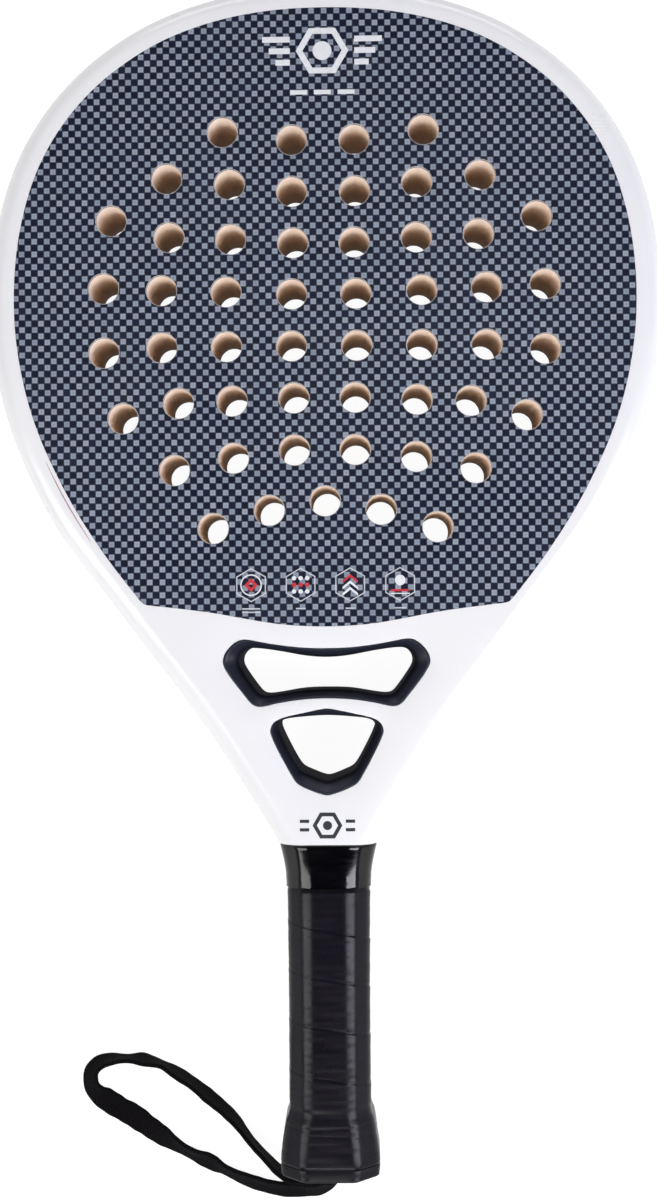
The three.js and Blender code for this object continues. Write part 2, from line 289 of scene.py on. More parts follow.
def fill(loops, extra=None):
    """Triangles over the region inside the first loop and outside the others. Returns vertex indices into the loops laid end to end."""
    pts = np.vstack(loops + ([extra] if extra is not None and len(extra) else []))
    edges, k = [], 0
    for p in loops:
        n = len(p)
        edges += [(k + i, k + (i + 1) % n) for i in range(n)]
        k += n
    out = delaunay_2d_cdt([Vector(p) for p in pts.tolist()], edges, [], 0, 1e-7, True)
    back = [o[0] if o else -1 for o in out[3]]
    tris = np.array([[back[i] for i in f] for f in out[2] if len(f) == 3])
    tris = tris[(tris >= 0).all(1)]
    c = pts[tris].mean(1)
    tris = tris[inside(c, loops)]
    a, b, d = pts[tris[:, 0]], pts[tris[:, 1]], pts[tris[:, 2]]
    cross = (b[:, 0] - a[:, 0]) * (d[:, 1] - a[:, 1]) - (b[:, 1] - a[:, 1]) * (d[:, 0] - a[:, 0])
    tris = tris[np.abs(cross) > 1e-10]
    cross = cross[np.abs(cross) > 1e-10]
    tris[cross < 0] = tris[cross < 0][:, ::-1]
    return tris


class Build:
    """Collects vertices and faces, in millimetres."""

    def __init__(self):
        self.v, self.f, self.m = [], [], []

    def add(self, pts):
        k = len(self.v)
        self.v += [tuple(map(float, p)) for p in pts]
        return list(range(k, k + len(pts)))

    def face(self, idx, m=0):
        self.f.append(tuple(int(i) for i in idx))
        self.m.append(m)

    def band(self, a, b, m=0, closed=True):
        """Quads between two rings; a is below b when rings run counter-clockwise and the outside is to be outside."""
        n = len(a)
        for i in range(n if closed else n - 1):
            j = (i + 1) % n
            self.face((a[i], a[j], b[j], b[i]), m)

    def mesh(self, name, mats, sharp=32.0, smooth=True, body="racket", attribute=None):
        me = bpy.data.meshes.new(name)
        me.from_pydata([(x * MM, y * MM, z * MM) for x, y, z in self.v], [], self.f)
        me.update()
        for mat in mats:
            me.materials.append(mat)
        me.polygons.foreach_set("material_index", self.m)
        if attribute is not None:
            at = me.attributes.new(attribute[0], "FLOAT_VECTOR", "POINT")
            at.data.foreach_set("vector", np.asarray(attribute[1], np.float32).ravel())
        bm = bmesh.new()
        bm.from_mesh(me)
        bmesh.ops.remove_doubles(bm, verts=bm.verts, dist=1e-8)
        bmesh.ops.recalc_face_normals(bm, faces=bm.faces)
        for f in bm.faces:
            f.smooth = smooth
        lim = math.radians(sharp)
        for e in bm.edges:
            e.smooth = len(e.link_faces) == 2 and e.calc_face_angle(0.0) < lim
        bm.to_mesh(me)
        bm.free()
        obj = bpy.data.objects.new(name, me)
        scene.collection.objects.link(obj)
        if body:
            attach(obj, body)
        return obj


def at_z(p, z):
    return np.column_stack([p, np.full(len(p), float(z))])


# ------------------------------------------------------------------------------------------------
# materials
# ------------------------------------------------------------------------------------------------
class Nodes:
    def __init__(self, name):
        self.mat = bpy.data.materials.new(name)
        self.mat.use_nodes = True
        self.t = self.mat.node_tree
        self.b = self.t.nodes["Principled BSDF"]

    def new(self, kind, **props):
        n = self.t.nodes.new(kind)
        for k, v in props.items():
            setattr(n, k, v)
        return n

    def link(self, a, b):
        self.t.links.new(a, b)

    def math(self, op, a, b=None, c=None, clamp=False):
        n = self.new("ShaderNodeMath", operation=op, use_clamp=clamp)
        for i, x in enumerate((a, b, c)):
            if x is None:
                continue
            if isinstance(x, (int, float)):
                n.inputs[i].default_value = x
            else:
                self.link(x, n.inputs[i])
        return n.outputs[0]

    def coords(self, kind="Object"):
        return self.new("ShaderNodeTexCoord").outputs[kind]

    def xyz(self, v):
        n = self.new("ShaderNodeSeparateXYZ")
        self.link(v, n.inputs[0])
        return n.outputs

    def scaled(self, v, s):
        n = self.new("ShaderNodeMapping")
        self.link(v, n.inputs["Vector"])
        n.inputs["Scale"].default_value = s if hasattr(s, "__len__") else (s, s, s)
        return n.outputs[0]

    def noise(self, v, scale, detail=4.0, rough=0.5, out="Fac"):
        n = self.new("ShaderNodeTexNoise")
        self.link(v, n.inputs["Vector"])
        n.inputs["Scale"].default_value = scale
        n.inputs["Detail"].default_value = detail
        n.inputs["Roughness"].default_value = rough
        return n.outputs[out]

    def voronoi(self, v, scale, feature="F1", out="Distance"):
        n = self.new("ShaderNodeTexVoronoi", feature=feature)
        self.link(v, n.inputs["Vector"])
        n.inputs["Scale"].default_value = scale
        return n.outputs[out]

    def ramp(self, fac, stops, interp="LINEAR"):
        n = self.new("ShaderNodeValToRGB")
        n.color_ramp.interpolation = interp
        e = n.color_ramp.elements
        while len(e) < len(stops):
            e.new(0.5)
        for el, (pos, col) in zip(e, stops):
            el.position = pos
            el.color = (*col, 1) if len(col) == 3 else col
        self.link(fac, n.inputs[0])
        return n.outputs[0]

    def rng(self, x, a, b, c, d):
        n = self.new("ShaderNodeMapRange")
        for i, v in zip((1, 2, 3, 4), (a, b, c, d)):
            n.inputs[i].default_value = v
        self.link(x, n.inputs[0])
        return n.outputs[0]

    def mix(self, fac, a, b, blend="MIX"):
        n = self.new("ShaderNodeMix", data_type="RGBA", blend_type=blend)
        if isinstance(fac, (int, float)):
            n.inputs[0].default_value = fac
        else:
            self.link(fac, n.inputs[0])
        for i, x in ((6, a), (7, b)):
            if isinstance(x, tuple):
                n.inputs[i].default_value = (*x, 1) if len(x) == 3 else x
            else:
                self.link(x, n.inputs[i])
        return n.outputs[2]

    def bump(self, height, strength, distance, normal=None):
        n = self.new("ShaderNodeBump")
        n.inputs["Strength"].default_value = strength
        n.inputs["Distance"].default_value = distance
        self.link(height, n.inputs["Height"])
        if normal is not None:
            self.link(normal, n.inputs["Normal"])
        return n.outputs[0]

    def set(self, **kw):
        names = {"color": "Base Color", "rough": "Roughness", "metal": "Metallic", "normal": "Normal", "coat": "Coat Weight",
                 "coat_rough": "Coat Roughness", "spec": "Specular IOR Level", "sheen": "Sheen Weight", "sheen_rough": "Sheen Roughness",
                 "sheen_tint": "Sheen Tint", "ior": "IOR", "sss": "Subsurface Weight", "sss_scale": "Subsurface Scale"}
        for k, v in kw.items():
            s = self.b.inputs[names[k]]
            if isinstance(v, (int, float)):
                s.default_value = v
            elif isinstance(v, tuple):
                s.default_value = (*v, 1) if len(v) == 3 else v
            else:
                self.link(v, s)
        return self.mat


def srgb(r, g, b):
    return tuple(((c / 255) / 12.92 if c / 255 <= 0.04045 else ((c / 255 + 0.055) / 1.055) ** 2.4) for c in (r, g, b))


def white_lacquer():
    m = Nodes("white_lacquer")
    o = m.coords()
    big = m.noise(o, 14, 3)
    col = m.ramp(big, [(0.3, srgb(242, 242, 244)), (0.7, srgb(247, 247, 248))])
    speck = m.noise(o, 900, 2, 0.6)
    col = m.mix(m.rng(speck, 0.72, 0.8, 0, 0.10), col, srgb(196, 196, 200))
    peel = m.noise(o, 260, 3, 0.5)
    haze = m.noise(o, 40, 4, 0.6)
    scuff = m.noise(m.scaled(o, (60, 900, 200)), 1.0, 3, 0.6)
    rough = m.math("ADD", m.rng(haze, 0.3, 0.7, 0.27, 0.31), m.rng(scuff, 0.5, 0.9, 0.0, 0.03))
    return m.set(color=col, rough=rough, normal=m.bump(peel, 0.25, 0.00006), coat=0.35, coat_rough=0.12)


CELL = 2.405                                                  # one square of the weave
PHASE = (0.169, -0.027)


def woven():
    m = Nodes("woven_laminate")
    o = m.coords()
    x, y, z = m.xyz(o)
    wob = m.noise(m.scaled(o, 22), 1.0, 2)
    wob2 = m.noise(m.scaled(o, (19, 23, 20)), 1.0, 2)
    u = m.math("ADD", m.math("MULTIPLY", x, 1000 / CELL), m.math("ADD", m.rng(wob, 0, 1, -0.10, 0.10), PHASE[0] + 200.0))
    v = m.math("ADD", m.math("MULTIPLY", y, 1000 / CELL), m.math("ADD", m.rng(wob2, 0, 1, -0.10, 0.10), PHASE[1] + 200.0))
    iu, iv = m.math("FLOOR", u), m.math("FLOOR", v)
    fu, fv = m.math("FRACT", u), m.math("FRACT", v)
    odd = m.math("MODULO", m.math("ADD", iu, iv), 2.0)
    odd = m.math("GREATER_THAN", odd, 0.5)
    # pillow of each square: 1 in the middle, 0 at its edges
    du = m.math("ABSOLUTE", m.math("SUBTRACT", m.math("MULTIPLY", fu, 2.0), 1.0))
    dv = m.math("ABSOLUTE", m.math("SUBTRACT", m.math("MULTIPLY", fv, 2.0), 1.0))
    edge = m.math("MAXIMUM", du, dv)
    pillow = m.math("SUBTRACT", 1.0, m.math("POWER", edge, 5.0))
    cell = m.new("ShaderNodeTexWhiteNoise", noise_dimensions="2D")
    comb = m.new("ShaderNodeCombineXYZ")
    m.link(iu, comb.inputs[0])
    m.link(iv, comb.inputs[1])
    m.link(comb.outputs[0], cell.inputs["Vector"])
    per = cell.outputs["Value"]
    # threads: light squares run across, dark squares run along
    ta = m.math("SINE", m.math("MULTIPLY", fv, 2 * math.pi * 7))
    tb = m.math("SINE", m.math("MULTIPLY", fu, 2 * math.pi * 7))
    light = m.ramp(per, [(0.0, srgb(141, 151, 168)), (0.5, srgb(153, 162, 178)), (1.0, srgb(166, 173, 188))])
    light = m.mix(m.rng(edge, 0.0, 0.62, 0.62, 0.0), light, srgb(92, 101, 116))
    light = m.mix(m.rng(ta, -1, 1, 0.0, 0.14), light, srgb(176, 182, 192))
    dark = m.ramp(per, [(0.0, srgb(13, 18, 37)), (1.0, srgb(22, 28, 50))])
    dark = m.mix(m.rng(tb, -1, 1, 0.0, 0.14), dark, srgb(44, 51, 68))
    soft = m.rng(edge, 0.76, 0.92, 0.0, 1.0)
    light = m.mix(m.math("MULTIPLY", m.rng(edge, 0.70, 0.90, 0.0, 1.0), 0.86), light, srgb(30, 36, 52))
    dark = m.mix(m.math("MULTIPLY", soft, 0.12), dark, srgb(52, 58, 72))
    col = m.mix(odd, dark, light)
    cloud = m.noise(o, 9, 3)
    col = m.mix(m.rng(cloud, 0.35, 0.7, 0.0, 0.04), col, srgb(128, 134, 142))
    rough = m.math("ADD", m.rng(m.noise(o, 50, 4), 0.3, 0.7, 0.30, 0.40), m.math("MULTIPLY", odd, 0.05))
    h = m.math("ADD", m.math("MULTIPLY", pillow, 0.8), m.math("MULTIPLY", m.mix(odd, tb, ta), 0.08))
    return m.set(color=col, rough=rough, normal=m.bump(h, 0.20, 0.00008), spec=0.28, coat=0.07, coat_rough=0.16)


def core_foam():
    m = Nodes("core_foam")
    o = m.coords()
    a = m.noise(o, 180, 5, 0.6)
    col = m.ramp(a, [(0.3, srgb(247, 231, 219)), (0.7, srgb(252, 238, 227))])
    # painted shade: the drilled wall is coloured paler at its mouth and warmer and a little darker further in, where
    # less light reaches
    col = m.mix(m.rng(m.xyz(o)[2], 0.0240, 0.0365, 0.70, 0.0), col, srgb(246, 222, 195))
    streak = m.noise(m.scaled(o, (500, 500, 60)), 1.0, 3, 0.6)
    col = m.mix(m.rng(streak, 0.35, 0.75, 0.0, 0.12), col, srgb(214, 180, 152))
    pore = m.voronoi(o, 1500)
    # painted shade: the colour darkens at the middle of each pore, where the bump dips
    col = m.mix(m.rng(pore, 0.0, 0.20, 0.16, 0.0), col, srgb(196, 160, 130))
    h = m.math("ADD", m.math("MULTIPLY", pore, 0.7), m.math("MULTIPLY", streak, 0.6))
    return m.set(color=col, rough=0.85, normal=m.bump(h, 0.30, 0.0002), spec=0.2)


def plain_foam(name, lo, hi):
    m = Nodes(name)
    o = m.coords()
    a = m.noise(o, 120, 5, 0.6)
    col = m.ramp(a, [(0.3, lo), (0.7, hi)])
    pore = m.voronoi(o, 1200)
    return m.set(color=col, rough=m.rng(a, 0.3, 0.7, 0.8, 0.95), normal=m.bump(pore, 0.5, 0.0002))


def black_moulding():
    m = Nodes("black_moulding")
    o = m.coords()
    a = m.noise(o, 60, 4, 0.6)
    col = m.ramp(a, [(0.3, srgb(10, 11, 17)), (0.7, srgb(17, 18, 27))])
    # painted highlight: the sloping front border is coloured paler than the walls, for the light it catches
    top = m.ramp(a, [(0.3, srgb(30, 32, 44)), (0.7, srgb(38, 41, 55))])
    col = m.mix(m.rng(m.xyz(o)[2], 0.0335, 0.0368, 0.0, 1.0), col, top)
    grain = m.noise(o, 1600, 3, 0.6)
    rough = m.math("ADD", m.rng(a, 0.3, 0.7, 0.34, 0.44), m.rng(grain, 0.4, 0.7, 0, 0.08))
    return m.set(color=col, rough=rough, normal=m.bump(grain, 0.25, 0.00006), spec=0.32)


def gloss_collar():
    m = Nodes("gloss_collar")
    o = m.coords()
    a = m.noise(m.scaled(o, (120, 420, 120)), 1.0, 4, 0.6)
    col = m.ramp(a, [(0.3, srgb(4, 4, 7)), (0.7, srgb(8, 8, 12))])
    wave = m.noise(m.scaled(o, (90, 260, 90)), 1.0, 3, 0.5)
    return m.set(color=col, rough=m.rng(a, 0.35, 0.75, 0.10, 0.20), normal=m.bump(wave, 0.05, 0.0004), spec=0.34, coat=0.22, coat_rough=0.07)


def grip_polymer():
    m = Nodes("grip_polymer")
    o = m.coords()
    a = m.noise(m.scaled(o, (70, 160, 70)), 1.0, 5, 0.6)
    col = m.ramp(a, [(0.25, srgb(13, 11, 18)), (0.75, srgb(19, 16, 26))])
    rub = m.noise(m.scaled(o, (45, 30, 45)), 1.0, 5, 0.65)
    col = m.mix(m.rng(rub, 0.55, 0.85, 0.0, 0.14), col, srgb(44, 40, 46))
    pebble = m.voronoi(o, 1700)
    fine = m.noise(o, 900, 4, 0.6)
    h = m.math("ADD", m.math("MULTIPLY", pebble, 0.5), m.math("MULTIPLY", fine, 0.8))
    crease = m.noise(m.scaled(o, (38, 620, 38)), 1.0, 3, 0.6)
    crease = m.math("MULTIPLY", crease, m.rng(m.noise(m.scaled(o, (60, 45, 60)), 1.0, 2, 0.5), 0.48, 0.62, 0.25, 1.0))
    n1 = m.bump(h, 0.22, 0.00012)
    n2 = m.bump(crease, 0.13, 0.0004, n1)
    rough = m.math("ADD", m.rng(rub, 0.3, 0.7, 0.25, 0.33), m.rng(pebble, 0.0, 0.5, 0.03, 0.0))
    return m.set(color=col, rough=rough, normal=n2, spec=0.225)


def black_rubber():
    m = Nodes("black_rubber")
    o = m.coords()
    a = m.noise(o, 90, 5, 0.6)
    col = m.ramp(a, [(0.3, srgb(12, 11, 17)), (0.7, srgb(19, 17, 25))])
    grain = m.noise(o, 1300, 3, 0.6)
    return m.set(color=col, rough=m.rng(a, 0.3, 0.7, 0.29, 0.38), normal=m.bump(grain, 0.16, 0.0001), spec=0.20)


def webbing():
    m = Nodes("webbing")
    at = m.new("ShaderNodeAttribute", attribute_name="strand")
    s, w, side = m.xyz(at.outputs["Vector"])
    # diagonal ribs of the weave, mirrored about the middle of the strap
    wa = m.math("ABSOLUTE", w)
    d1 = m.math("ADD", m.math("MULTIPLY", s, 2 * math.pi / 1.25), m.math("MULTIPLY", wa, 2 * math.pi / 1.5))
    rib = m.math("SINE", d1)
    d2 = m.math("SINE", m.math("MULTIPLY", w, 2 * math.pi / 0.75))
    h = m.math("ADD", m.math("MULTIPLY", rib, 0.5), m.math("MULTIPLY", d2, 0.35))
    o = m.coords()
    fuzz = m.noise(o, 2200, 3, 0.7)
    h = m.math("ADD", h, m.math("MULTIPLY", fuzz, 0.7))
    # painted shade and sheen: the colour follows the rib height, darker in the grooves and paler on the raised ribs,
    # with random fuzz
    col = m.ramp(m.rng(h, -0.8, 1.4, 0, 1), [(0.0, srgb(3, 3, 4)), (0.6, srgb(10, 8, 11)), (1.0, srgb(36, 31, 36))])
    var = m.noise(o, 60, 3)
    col = m.mix(m.rng(var, 0.4, 0.7, 0, 0.25), col, srgb(10, 9, 12))
    return m.set(color=col, rough=m.rng(var, 0.3, 0.7, 0.74, 0.88), normal=m.bump(h, 0.7, 0.00022), spec=0.08)


def steel():
    m = Nodes("steel")
    o = m.coords()
    a = m.noise(m.scaled(o, (40, 900, 900)), 1.0, 3, 0.6)
    col = m.ramp(a, [(0.3, srgb(176, 178, 181)), (0.7, srgb(206, 207, 209))])
    return m.set(color=col, rough=m.rng(a, 0.3, 0.7, 0.25, 0.42), metal=1.0, normal=m.bump(a, 0.2, 0.00005))


def ink(name, lo, hi, rough=0.42):
    m = Nodes(name)
    o = m.coords()
    a = m.noise(o, 500, 4, 0.65)
    col = m.ramp(a, [(0.3, lo), (0.7, hi)])
    return m.set(color=col, rough=m.rng(a, 0.3, 0.7, rough - 0.06, rough + 0.08), normal=m.bump(a, 0.15, 0.00004))


M_WHITE, M_WOVEN, M_CORE = white_lacquer(), woven(), core_foam()
M_MOULD, M_COLLAR, M_GRIP, M_RUBBER = black_moulding(), gloss_collar(), grip_polymer(), black_rubber()
M_WEB, M_STEEL = webbing(), steel()
M_FILLER = plain_foam("filler_foam", srgb(205, 190, 152), srgb(228, 216, 184))
M_CUSHION = plain_foam("cushion_foam", srgb(52, 52, 55), srgb(74, 74, 78))
M_RESIN = black_rubber().copy()
M_RESIN.name = "handle_resin"
M_CUT = ink("cut_laminate_edge", srgb(150, 146, 146), srgb(206, 202, 200), 0.6)
M_INK_W = ink("ink_white", srgb(226, 229, 232), srgb(240, 242, 244))
M_INK_G = ink("ink_grey", srgb(196, 201, 207), srgb(214, 219, 224))
M_INK_R = ink("ink_red", srgb(196, 44, 52), srgb(216, 62, 66))
M_INK_D = ink("ink_dark", srgb(38, 41, 46), srgb(52, 56, 61))
M_INK_P = ink("ink_pale_red", srgb(176, 140, 154), srgb(206, 176, 188))

# ------------------------------------------------------------------------------------------------
# wrist cord: flat webbing
# ------------------------------------------------------------------------------------------------
# x, y, height of the middle or None where it lies on the surface, width seen from above or the direction of its width
UPRIGHT = (0.18, 0.0, 0.98)
STRAP = [
    (1.6, -227.9, 12.4, UPRIGHT), (1.6, -229.2, 12.4, UPRIGHT), (1.3, -231.8, 12.0, (0.30, -0.12, 0.94)), (-0.6, -236.0, 9.8, 4.2), (-5.6, -239.8, 6.8, 4.8),
    (-12.0, -241.2, None, 5.2), (-18.4, -241.2, None, 5.2), (-24.4, -240.2, None, 5.0), (-30.5, -238.5, None, 4.8), (-36.7, -236.0, None, 4.3),
    (-42.8, -233.0, None, 3.6), (-48.9, -230.1, None, 5.9), (-55.0, -227.2, None, 4.0), (-61.1, -224.0, None, 4.6), (-67.1, -220.5, None, 6.6),
    (-73.2, -216.8, None, 7.4), (-79.3, -212.7, None, 7.6), (-85.5, -209.1, None, 8.2), (-91.1, -205.4, None, 7.4), (-94.1, -202.6, None, 6.6),
    (-95.7, -198.8, None, 5.6), (-95.5, -194.9, None, 5.6), (-93.7, -191.9, None, 5.6), (-90.5, -190.1, None, 5.4), (-86.0, -189.3, None, 4.2),
    (-80.5, -189.2, None, 3.3), (-76.2, -189.2, None, 5.0), (-73.0, -190.0, None, 4.8), (-70.1, -190.7, None, 3.9), (-67.1, -191.7, None, 3.4),
    (-62.2, -194.4, None, 4.7), (-54.8, -199.1, None, 4.8), (-48.7, -204.1, None, 5.3), (-42.6, -209.2, None, 5.0), (-37.7, -214.1, None, 4.4),
    (-31.7, -222.1, None, 3.5), (-24.8, -229.4, 5.0, 3.9), (-20.6, -232.8, 6.8, 4.2), (-15.2, -235.0, 9.4, 4.6), (-9.6, -235.0, 12.0, (0.25, 0.30, 0.92)),
    (-6.2, -232.6, 13.2, (0.28, 0.10, 0.95)), (-5.0, -230.0, 13.6, UPRIGHT), (-4.8, -229.0, 13.6, UPRIGHT), (-4.8, -227.9, 13.6, UPRIGHT),
]
STRAP_W, STRAP_T = 9.0, 1.9


def make_strap():
    eye = np.array([15.0, -17.8, 633.0])
    xyz = np.array([(x, y, 3.5 if z is None else z) for x, y, z, w in STRAP])
    T = np.gradient(xyz, axis=0)
    T /= np.linalg.norm(T, axis=1)[:, None]
    tilt = np.radians(np.linspace(12, 90, 157))
    seen = STRAP_W * np.cos(tilt) + STRAP_T * np.sin(tilt)
    rows, last = [], None
    for (x, y, z, w), t in zip(STRAP, T):
        if isinstance(w, tuple):
            W = np.array(w)
        else:
            v = eye - (x, y, 3.5)
            v /= np.linalg.norm(v)
            e1 = np.cross(t, v)
            e1 /= np.linalg.norm(e1)
            e2 = np.cross(e1, t)
            a = np.interp(abs(w) * 1.2, seen[::-1], tilt[::-1])
            W = e1 * math.cos(a) * (1 if w > 0 else -1) + e2 * math.sin(a)
        W = W / np.linalg.norm(W)
        if last is not None and W @ last < 0:
            W = -W
        last = W
        rows.append((x, y, -1.0 if z is None else z, *W))
    rows = np.array(rows)
    rows[:, 2] = np.maximum(rows[:, 2], STRAP_W / 2 * np.abs(rows[:, 5]) + STRAP_T / 2 * np.sqrt(1 - rows[:, 5] ** 2) + 0.04)
    p = catmull(rows, 0.5)
    s = np.concatenate([[0], np.cumsum(np.linalg.norm(np.diff(p[:, :3], axis=0), axis=1))])
    n = int(s[-1] / 0.62)
    t = np.linspace(0, s[-1], n)
    q = np.stack([np.interp(t, s, p[:, k]) for k in range(6)], 1)
    ends = q[[0, -1]].copy()
    q = gauss(q, 2.0)
    q[0], q[-1] = ends[0], ends[1]
    c = q[:, :3]
    T = np.gradient(c, axis=0)
    T /= np.linalg.norm(T, axis=1)[:, None]
    W = q[:, 3:]
    W = W - T * (W * T).sum(1)[:, None]
    W /= np.linalg.norm(W, axis=1)[:, None]
    H = np.cross(T, W)
    c[:, 2] = np.maximum(c[:, 2], STRAP_W / 2 * np.abs(W[:, 2]) + STRAP_T / 2 * np.abs(H[:, 2]) + 0.03)
    # cross section: flat band with rounded, slightly thicker edges
    sec = []
    hw, ht = STRAP_W / 2, STRAP_T / 2
    flat = np.linspace(-hw + 0.95, hw - 0.95, 13)
    for w in flat:
        sec.append((w, ht * (0.84 + 0.16 * abs(w) / hw), 1))
    for a in (60, 30, 0, -30, -60):
        sec.append((hw - 0.95 + 0.95 * math.cos(math.radians(a)), ht * math.sin(math.radians(a)), 0))
    for w in flat[::-1]:
        sec.append((w, -ht * (0.84 + 0.16 * abs(w) / hw), -1))
    for a in (-120, -150, 180, 150, 120):
        sec.append((-hw + 0.95 + 0.95 * math.cos(math.radians(a)), ht * math.sin(math.radians(a)), 0))
    sec = np.array(sec)
    tt = np.linspace(0, s[-1], n)
    b, rings, att = Build(), [], []
    for i in range(n):
        # gentle hand-made unevenness of a soft strap
        free = min(1.0, max(0.0, (tt[i] - 8) / 10)) * min(1.0, max(0.0, (tt[-1] - 8 - tt[i]) / 10))
        wv = 1 + (0.030 * math.sin(tt[i] * 0.47) + 0.022 * math.sin(tt[i] * 1.07 + 1.0)) * free
        cup = (0.30 + 0.30 * math.sin(tt[i] * 0.19 + 0.6)) * free
        w = sec[:, 0] * wv
        h = sec[:, 1] + cup * (1 - (sec[:, 0] / hw) ** 2) * 0.5
        rib = 0.06 * np.sin(tt[i] * 2 * math.pi / 1.25 + np.abs(sec[:, 0]) * 2 * math.pi / 1.5) * (sec[:, 2] != 0)
        h = h + rib * np.sign(sec[:, 2])
        pts = c[i] + W[i] * w[:, None] + H[i] * h[:, None]
        pts[:, 2] = np.maximum(pts[:, 2], 0.02)
        rings.append(b.add(pts))
        att += [(tt[i], v, sd) for v, sd in zip(sec[:, 0], sec[:, 2])]
    for r0, r1 in zip(rings, rings[1:]):
        b.band(r0, r1)
    b.face(rings[0])
    b.face(rings[-1][::-1])
    obj = b.mesh("wrist_strap", [M_WEB], sharp=70, body=None, attribute=("strand", att))
    return obj, c, s[-1]


strap, strap_line, strap_len = make_strap()
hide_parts("wrist_cord")

# ------------------------------------------------------------------------------------------------
# frame: white moulding with the two windows
# ------------------------------------------------------------------------------------------------
ROUND_XY, ROUND_Z = 7.6, 9.5


def make_frame():
    b = Build()
    steps = 13
    prof = []
    for k in range(steps + 1):                              # from the widest line up to the flat
        a = k / steps * math.pi / 2
        prof.append((ROUND_XY * (1 - math.cos(a)) ** 1.0, THICK - ROUND_Z + ROUND_Z * math.sin(a)))
    down = [(d, THICK - z) for d, z in prof[::-1]]
    wall = [(0.0, ROUND_Z + (THICK - 2 * ROUND_Z) * t) for t in (0.25, 0.5, 0.75)]
    full = down + wall + prof
    rings = [b.add(at_z(offset(OUTER, -d), z)) for d, z in full]
    for lo, hi in zip(rings, rings[1:]):
        b.band(lo, hi)
    e = 0.35                                                # small break of the edge at each window
    inner = [FACE]
    win = [offset(UP_OUT, 0.05), offset(LO_OUT, 0.05)]
    for z, ring in ((THICK, rings[-1]), (0.0, rings[0])):
        loops = [offset(OUTER, -ROUND_XY)] + inner + [offset(w, e) for w in win]
        ids = list(ring)
        for p in loops[1:]:
            ids += b.add(at_z(p, z))
        for t in fill(loops):
            b.face([ids[i] for i in (t if z > 0 else t[::-1])])
    # walls of the face opening and the windows
    def wall_of(p, levels):
        rr = [b.add(at_z(q, z)) for q, z in levels]
        for lo, hi in zip(rr, rr[1:]):
            b.band(hi, lo)
    wall_of(FACE, [(FACE, 0.0), (FACE, 9.0), (FACE, 19.0), (FACE, 29.0), (FACE, THICK)])
    for w in win:
        wall_of(w, [(offset(w, e), 0.0), (offset(w, e * 0.3), e * 0.3), (w, e), (w, 19.0), (w, THICK - e), (offset(w, e * 0.3), THICK - e * 0.3), (offset(w, e), THICK)])
    obj = b.mesh("frame_moulding", [M_WHITE], sharp=38, body=None)
    bm = bmesh.new()
    bm.from_mesh(obj.data)
    geom = list(bm.verts) + list(bm.edges) + list(bm.faces)
    cut = bmesh.ops.bisect_plane(bm, geom=geom, dist=1e-7, plane_co=(0, NECK_Y * MM, 0), plane_no=(0, 1, 0), clear_inner=True)
    rim = [g for g in cut["geom_cut"] if isinstance(g, bmesh.types.BMEdge)]
    bmesh.ops.contextual_create(bm, geom=rim)
    for f in bm.faces:
        f.smooth = True
    for ed in bm.edges:
        if len(ed.link_faces) == 2 and ed.calc_face_angle(0.0) > math.radians(38):
            ed.smooth = False
    # stem that runs down inside the handle
    y0, y1, a, h = (NECK_Y + 0.4) * MM, -206 * MM, 6.5 * MM, 8 * MM
    st = bmesh.ops.create_cube(bm, size=1.0)
    for v in st["verts"]:
        v.co = Vector((v.co.x * 2 * a, y0 + (0.5 - v.co.y) * (y1 - y0), MID * MM + v.co.z * 2 * h))
    edges = list({ed for v in st["verts"] for ed in v.link_edges})
    bmesh.ops.bevel(bm, geom=edges, offset=0.0022, segments=4, affect="EDGES", profile=0.5)
    bm.normal_update()
    bm.to_mesh(obj.data)
    bm.free()
    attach(obj, "racket")
    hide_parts("frame")
    return obj


frame_obj = make_frame()

# ------------------------------------------------------------------------------------------------
# hitting face
# ------------------------------------------------------------------------------------------------
HOLE_N = 44


def make_skin(name, node, z_out, z_in):
    """z_out is the outside level, z_in the level against the core."""
    b = Build()
    up = 1 if z_out > z_in else -1
    edge = offset(FACE, -0.03)
    chamfer = 0.28
    lip = 0.12
    lo_edge = [b.add(at_z(edge, z)) for z in (z_in, z_out - up * lip)]
    top_edge = b.add(at_z(offset(FACE, -0.03 - lip), z_out))
    loops_out, ids_out = [offset(FACE, -0.03 - lip)], list(top_edge)
    loops_in, ids_in = [edge], list(lo_edge[0])
    holes = []
    for x, y in HOLE_AT:
        c0, c1 = circle(x, y, HOLE_R, HOLE_N), circle(x, y, HOLE_R + chamfer, HOLE_N)
        cm = circle(x, y, HOLE_R + chamfer * 0.3, HOLE_N)
        r_in = b.add(at_z(c0, z_in))
        r_a = b.add(at_z(c0, z_out - up * chamfer))
        r_m = b.add(at_z(cm, z_out - up * chamfer * 0.3))
        r_b = b.add(at_z(c1, z_out))
        loops_out.append(c1)
        ids_out += r_b
        loops_in.append(c0)
        ids_in += r_in
        holes.append((r_in, r_a, r_m, r_b))
    grid = []
    for gx in np.arange(-112, 113, 8.0):
        for gy in np.arange(-12, 214, 8.0):
            grid.append((gx + 0.3, gy + 0.2))
    grid = np.array(grid)
    keep = inside(grid, [offset(FACE, -3)])
    for x, y in HOLE_AT:
        keep &= np.hypot(grid[:, 0] - x, grid[:, 1] - y) > HOLE_R + 1.6
    grid = grid[keep]
    gi = b.add(at_z(grid, z_out))
    for t in fill(loops_out, grid):
        ids = ids_out + gi
        b.face([ids[i] for i in t])
    for t in fill(loops_in):
        b.face([ids_in[i] for i in t[::-1]])
    b.band(lo_edge[0], lo_edge[1])
    b.band(lo_edge[1], top_edge)
    for h in holes:
        b.band(h[0], h[1])
        b.band(h[1], h[2], 1)
        b.band(h[2], h[3], 1)
    obj = b.mesh(name, [M_WOVEN, M_CUT], sharp=35)
    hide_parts(node)
    return obj


make_skin("front_laminate", "front_face_skin", THICK, THICK - 1.0)
make_skin("back_laminate", "back_face_skin", 0.0, 1.0)


